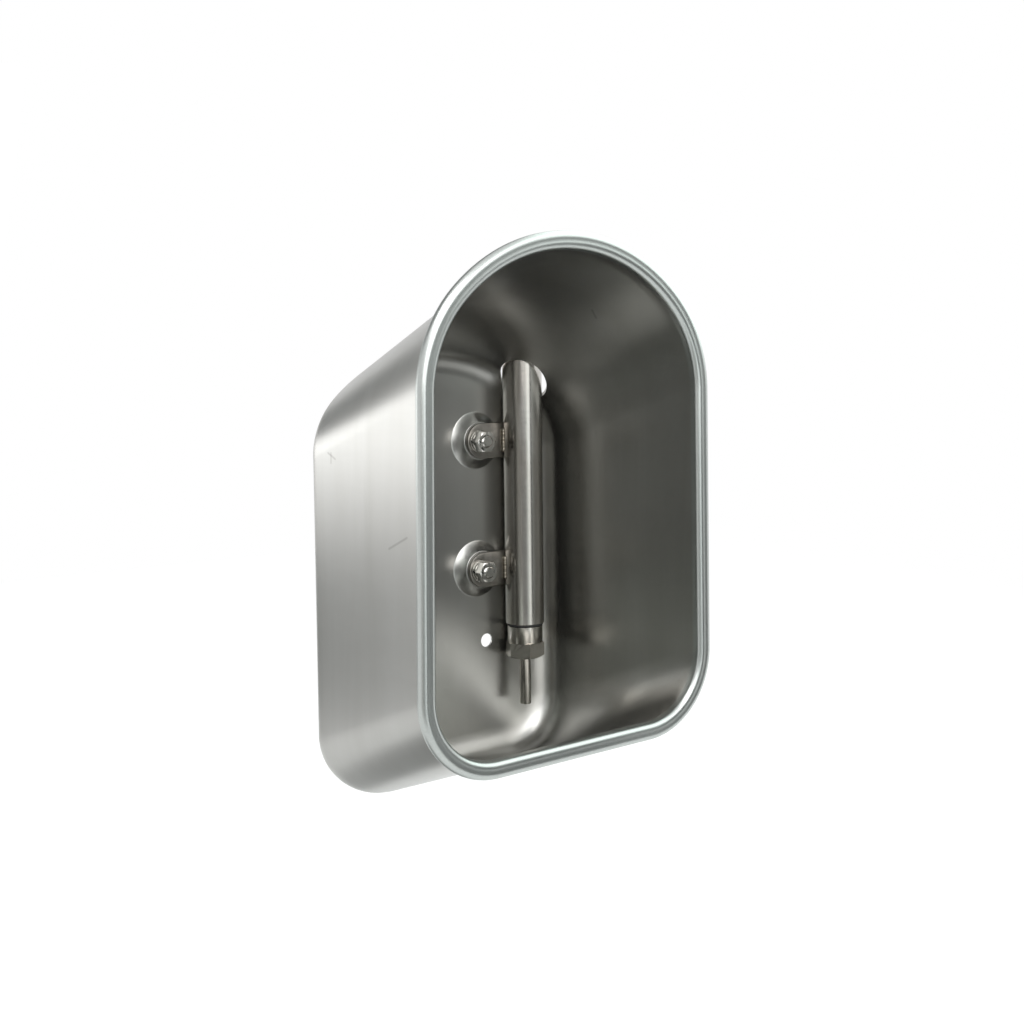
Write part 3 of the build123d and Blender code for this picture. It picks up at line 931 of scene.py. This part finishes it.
def nut_at(x, z):
    """Nut on the lock washer, chamfered on both faces and countersunk."""
    seat = tab_front - washer_thickness - lock_thickness
    corner = across_corners(nut_width)
    nut = prism("nut", nut_width, 0.0, nut_height)
    blank = plain_mesh("blank", turned_mesh([
        (bolt_radius, 0.0),
        (corner - nut_chamfer, 0.0),
        (corner + nut_clear, nut_chamfer_height),
        (corner + nut_clear, nut_height - nut_chamfer_height),
        (corner - nut_chamfer, nut_height),
        (bolt_radius + nut_countersink, nut_height),
        (bolt_radius, nut_height - nut_countersink),
    ]))
    cut_with(nut, blank, "INTERSECT")
    return [moved(nut, out_of_wall(x, seat, z))]


fastener_look = {
    "steel": (0.62, 0.61, 0.58), "stain": (0.46, 0.44, 0.41), "stain_scale": (260.0, 260.0, 260.0),
    "stain_amount": 0.6, "roughness": 0.17, "spread": 0.06, "mark_scale": (900.0, 900.0, 900.0),
    "depth": 0.000003,
}
fastener_steel = steel("fastener_steel", fastener_look)
for name, build in (
    ("clamp_bolts", bolt_at), ("plain_washers", plain_washer_at),
    ("lock_washers", lock_washer_at), ("hex_nuts", nut_at),
):
    parts = [part for level in bolt_levels for part in build(bolt_x, level)]
    finish(joined(f"{name}_fine", parts), fastener_steel, "bowl", "fastener_steel", name)

# ---- valve body ------------------------------------------------------------------------------
# A turned stainless body screws up into the pipe: threaded neck, round collar and, at the
# bottom, a hexagon for the spanner with its corners chamfered.

gasket_thickness = 0.0012
collar_radius = 0.0123
collar_height = 0.012
collar_chamfer = 0.0006
hexagon_width = 0.024
hexagon_height = 0.0108
hexagon_turn = math.radians(7)
hexagon_chamfer = 0.002
outlet_radius = 0.0062
outlet_chamfer = 0.0006
cavity_radius = 0.0078
seat_depth = 0.008
relief_depth = 0.0008
relief_top = 0.0005
thread_start = 0.0008
joint_overlap = 0.0002
joint_chamfer = 0.0001

collar_top = pipe_end - gasket_thickness
hexagon_top = collar_top - collar_height
hexagon_bottom = hexagon_top - hexagon_height
neck_top = pipe_end + valve_thread["length"]
seat_level = pipe_end - seat_depth

hexagon = prism("hexagon", hexagon_width, hexagon_bottom, hexagon_top, hexagon_turn)
flat_radius = hexagon_width / 2
cone = plain_mesh("cone", turned_mesh([
    (outlet_radius + outlet_chamfer, hexagon_bottom),
    (flat_radius - hexagon_chamfer / 2, hexagon_bottom),
    (flat_radius + hexagon_chamfer, hexagon_bottom + hexagon_chamfer),
    (flat_radius + hexagon_chamfer, hexagon_top),
    (outlet_radius, hexagon_top),
    (outlet_radius, hexagon_bottom + outlet_chamfer),
]))
cut_with(hexagon, cone, "INTERSECT")
neck = plain_mesh("neck", turned_mesh([
    (outlet_radius, hexagon_top - joint_overlap),
    (collar_radius - joint_chamfer, hexagon_top - joint_overlap),
    (collar_radius, hexagon_top + joint_chamfer),
    (collar_radius, collar_top - collar_chamfer),
    (collar_radius - collar_chamfer, collar_top),
    (valve_thread["radius"] - relief_depth, collar_top),
    (valve_thread["radius"] - relief_depth, pipe_end + relief_top),
    *thread_rows(valve_thread, pipe_end + thread_start, neck_top),
    (cavity_radius, neck_top),
    (cavity_radius, seat_level),
    (outlet_radius, seat_level),
], pitch=valve_thread["pitch"]))
cut_with(hexagon, neck, "UNION")
body = smooth(moved(hexagon, pipe_axis_place))
body.name = "turned_body"
turned_look = {
    "steel": (0.55, 0.53, 0.49), "stain": (0.42, 0.39, 0.35), "stain_scale": (120.0, 120.0, 120.0),
    "stain_amount": 0.6, "roughness": 0.20, "spread": 0.08, "mark_scale": (80.0, 80.0, 3500.0),
    "depth": 0.0000025,
}
turned_steel = steel("turned_steel", turned_look)
finish(body, turned_steel, "bowl", "turned_steel", "valve_body")

# ---- valve pin -------------------------------------------------------------------------------
# The pin hangs out of the hexagon into the bowl. The animal pushes it sideways, so that its
# head tips off the rubber seat and water runs past it.

pin_radius = 0.004
pin_tip = hexagon_bottom - 0.0336
pin_tip_chamfer = 0.0006
pin_head_radius = 0.007
pin_head_thickness = 0.002
pin_pip_radius = 0.0025
pin_pip_height = 0.0014
seat_ring_thickness = 0.002
seat_top = seat_level + seat_ring_thickness
head_top = seat_top + pin_head_thickness
pip_top = head_top + pin_pip_height
tip_softness = 0.00018
head_softness = 0.0003
pip_softness = 0.0004
pin_segments = 64

pin_section = [
    (0.0, pin_tip),
    (pin_radius - pin_tip_chamfer, pin_tip),
    (pin_radius - tip_softness, pin_tip + tip_softness),
    (pin_radius, pin_tip + pin_tip_chamfer),
    (pin_radius, seat_top),
    (pin_head_radius - head_softness, seat_top),
    (pin_head_radius, seat_top + head_softness),
    (pin_head_radius, head_top - head_softness),
    (pin_head_radius - head_softness, head_top),
    (pin_pip_radius, head_top),
    (pin_pip_radius, pip_top - pip_softness),
    (pin_pip_radius - pip_softness, pip_top),
    (0.0, pip_top),
]
pin = smooth(plain_mesh("turned_pin", placed(turned_mesh(pin_section, pin_segments), pipe_axis_place)))
finish(pin, turned_steel, "pin", "turned_steel", "valve_pin")

# ---- rubber, spring and plastic of the valve -------------------------------------------------
# The gasket shows as a thin dark line under the pipe. The seat, the spring and what holds it
# lie inside the body and keep their CAD meshes.


def dress(node, material):
    """A CAD node keeps its mesh and takes a material."""
    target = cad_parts[node]
    target.data.materials.clear()
    target.data.materials.append(material)


grain_scale = (2500.0, 2500.0, 2500.0)
grain_depth = 0.00001
roughness_swing = 0.06


def moulded(name, light, dark, scale, roughness):
    """Rubber or plastic: two close tones and a faint grain."""
    material, tree, shader = new_material(name)
    place = object_place(tree)
    cloud = noise_node(tree, stretched(tree, place, (scale, scale, scale)))
    tree.links.new(colour_mix(tree, cloud, light, dark), shader.inputs["Base Color"])
    uneven = span_node(tree, cloud, 0.3, 0.7, roughness - roughness_swing, roughness + roughness_swing)
    tree.links.new(uneven, shader.inputs["Roughness"])
    bump_into(tree, shader, noise_node(tree, stretched(tree, place, grain_scale)), grain_depth)
    return material


black_rubber = moulded("black_rubber", (0.028, 0.028, 0.029), (0.016, 0.016, 0.016), 300.0, 0.6)
white_plastic = moulded("white_plastic", (0.80, 0.80, 0.77), (0.70, 0.69, 0.65), 200.0, 0.42)
red_plastic = moulded("red_plastic", (0.52, 0.05, 0.04), (0.40, 0.035, 0.03), 200.0, 0.38)
spring_look = dict(
    turned_look, steel=(0.56, 0.55, 0.53), stain_amount=0.4, mark_scale=(900.0, 900.0, 900.0), depth=0.000002
)
gauze_look = dict(
    turned_look, steel=(0.44, 0.43, 0.41), stain=(0.10, 0.10, 0.09), stain_scale=(3200.0, 3200.0, 3200.0),
    stain_amount=1.0, roughness=0.40,
)
spring_steel = steel("spring_steel", spring_look)
gauze_steel = steel("gauze_steel", gauze_look)
for material, nodes in (
    (black_rubber, ("valve_gasket", "seat_ring")),
    (spring_steel, ("return_spring", "retaining_ring")),
    (white_plastic, ("spring_cap", "inlet_strainer")),
    (red_plastic, ("flow_restrictor",)),
    (gauze_steel, ("strainer_gauze",)),
):
    for node in nodes:
        dress(node, material)

# ---- studio ----------------------------------------------------------------------------------
# The bowl hangs clear in a white studio with its floor well below. Soft lamps and grey cards,
# which the camera sees as white, draw the light and dark bands in the steel.

floor_drop = 0.35
floor_size = 6.0
floor_base = 0.45
floor_glow = 0.55
# Painted shadow: a dark grey sheet on the floor under the bowl, which the steel reflects as the bowl's shadow
# and the camera sees as white.
shadow_sheet_size = (0.42, 0.38)
shadow_sheet_place = (-0.17, 0.08)
shadow_sheet_lift = 0.001
shadow_sheet_tone = 0.30
matt_roughness = 0.9
lamp_distance = 1.5
strip_distance = 0.9
card_distance = 0.95
high_card_distance = 2.0
middle = Vector((0.0, -0.07, 0.13))


def matt_paint(name, tone):
    """Matt grey without gloss: the material, its node tree, its shader and its light paths."""
    paint, tree, shader = new_material(name)
    shader.inputs["Base Color"].default_value = (tone, tone, tone, 1)
    shader.inputs["Roughness"].default_value = matt_roughness
    shader.inputs["Specular IOR Level"].default_value = 0.0
    shader.inputs["Emission Color"].default_value = (1, 1, 1, 1)
    return paint, tree, shader, tree.nodes.new("ShaderNodeLightPath").outputs


def flat_sheet(name, width, length, matrix):
    """A flat rectangle about the middle of its place."""
    mesh = bmesh.new()
    bmesh.ops.create_grid(mesh, x_segments=1, y_segments=1, size=0.5)
    return plain_mesh(name, placed(mesh, matrix @ Matrix.Diagonal((width, length, 1.0, 1.0))))


floor = flat_sheet("floor", floor_size, floor_size, Matrix.Translation((0, 0, -floor_drop)))
floor_paint, tree, shader, rays = matt_paint("floor_paint", floor_base)
seen = math_node(tree, "MAXIMUM", rays["Is Camera Ray"], rays["Is Glossy Ray"])
shown = math_node(tree, "MAXIMUM", seen, rays["Is Transmission Ray"])
tree.links.new(math_node(tree, "MULTIPLY", shown, floor_glow), shader.inputs["Emission Strength"])
floor.data.materials.append(floor_paint)

world = bpy.data.worlds.new("studio")
bpy.context.scene.world = world
world.use_nodes = True
world.node_tree.nodes["Background"].inputs["Color"].default_value = (1, 1, 1, 1)
world.node_tree.nodes["Background"].inputs["Strength"].default_value = 1.0


def facing_bowl(azimuth, elevation, distance):
    """Place and turn of a flat thing that faces the bowl; azimuth 0 is in front, 90 on its right."""
    a, e = math.radians(azimuth), math.radians(elevation)
    outward = Vector((math.sin(a) * math.cos(e), -math.cos(a) * math.cos(e), math.sin(e)))
    turn = outward.to_track_quat("Z", "Y").to_matrix().to_4x4()
    return Matrix.Translation(middle + outward * distance) @ turn


def spread(degrees, distance):
    """Width of a flat thing that fills an angle as seen from the bowl."""
    return 2 * distance * math.tan(math.radians(degrees / 2))


def softbox(name, azimuth, elevation, wide, high, strength, tint=(1.0, 1.0, 1.0), distance=lamp_distance):
    """Soft lamp that fills so many degrees and looks so many times as bright as white."""
    data = bpy.data.lights.new(name, "AREA")
    data.shape = "RECTANGLE"
    data.size = spread(wide, distance)
    data.size_y = spread(high, distance)
    data.color = tint
    data.energy = strength * data.size * data.size_y * math.pi
    lamp = bpy.data.objects.new(name, data)
    lamp.matrix_world = facing_bowl(azimuth, elevation, distance)
    bpy.context.scene.collection.objects.link(lamp)


def dim(card, tone):
    """A card shades the steel with its tone and shows white to the camera, like the surround."""
    paint, tree, shader, rays = matt_paint(card.name, tone)
    tree.links.new(rays["Is Camera Ray"], shader.inputs["Emission Strength"])
    card.data.materials.append(paint)


def card(name, azimuth, elevation, wide, high, tone, distance=card_distance):
    """Grey or black card that keeps the white surround out of the steel."""
    place = facing_bowl(azimuth, elevation, distance)
    dim(flat_sheet(name, spread(wide, distance), spread(high, distance), place), tone)


softbox("key", -10, 27, 60, 40, 2.4)
softbox("upper_left", -52, 54, 34, 22, 3.6)
softbox("right_fill", 80, 40, 80, 60, 1.45, (0.86, 1.0, 0.94))
softbox("back_left_strip", -147, 4, 40, 12, 1.7)
softbox("front_strip", -2, -6, 26, 34, 0.55, (0.90, 1.0, 0.99), strip_distance)
softbox("warm_strip", -52, -6, 5, 36, 0.9, (1.0, 0.93, 0.84), strip_distance)
card("card_front_left", -35, -10, 60, 36, 0.30)
card("card_front_right", 27, -7, 36, 42, 0.03)
card("card_behind_low", -157, -14, 34, 14, 0.28)
card("card_behind_left", -164, 19, 26, 18, 0.30)
card("card_behind_above", -166, 48, 76, 40, 0.33, high_card_distance)
# Painted shadow under the bowl: a dark sheet on the floor for the steel to reflect; the camera sees it white.
dim(flat_sheet("painted_floor_shadow", *shadow_sheet_size, Matrix.Translation((*shadow_sheet_place, shadow_sheet_lift - floor_drop))), shadow_sheet_tone)
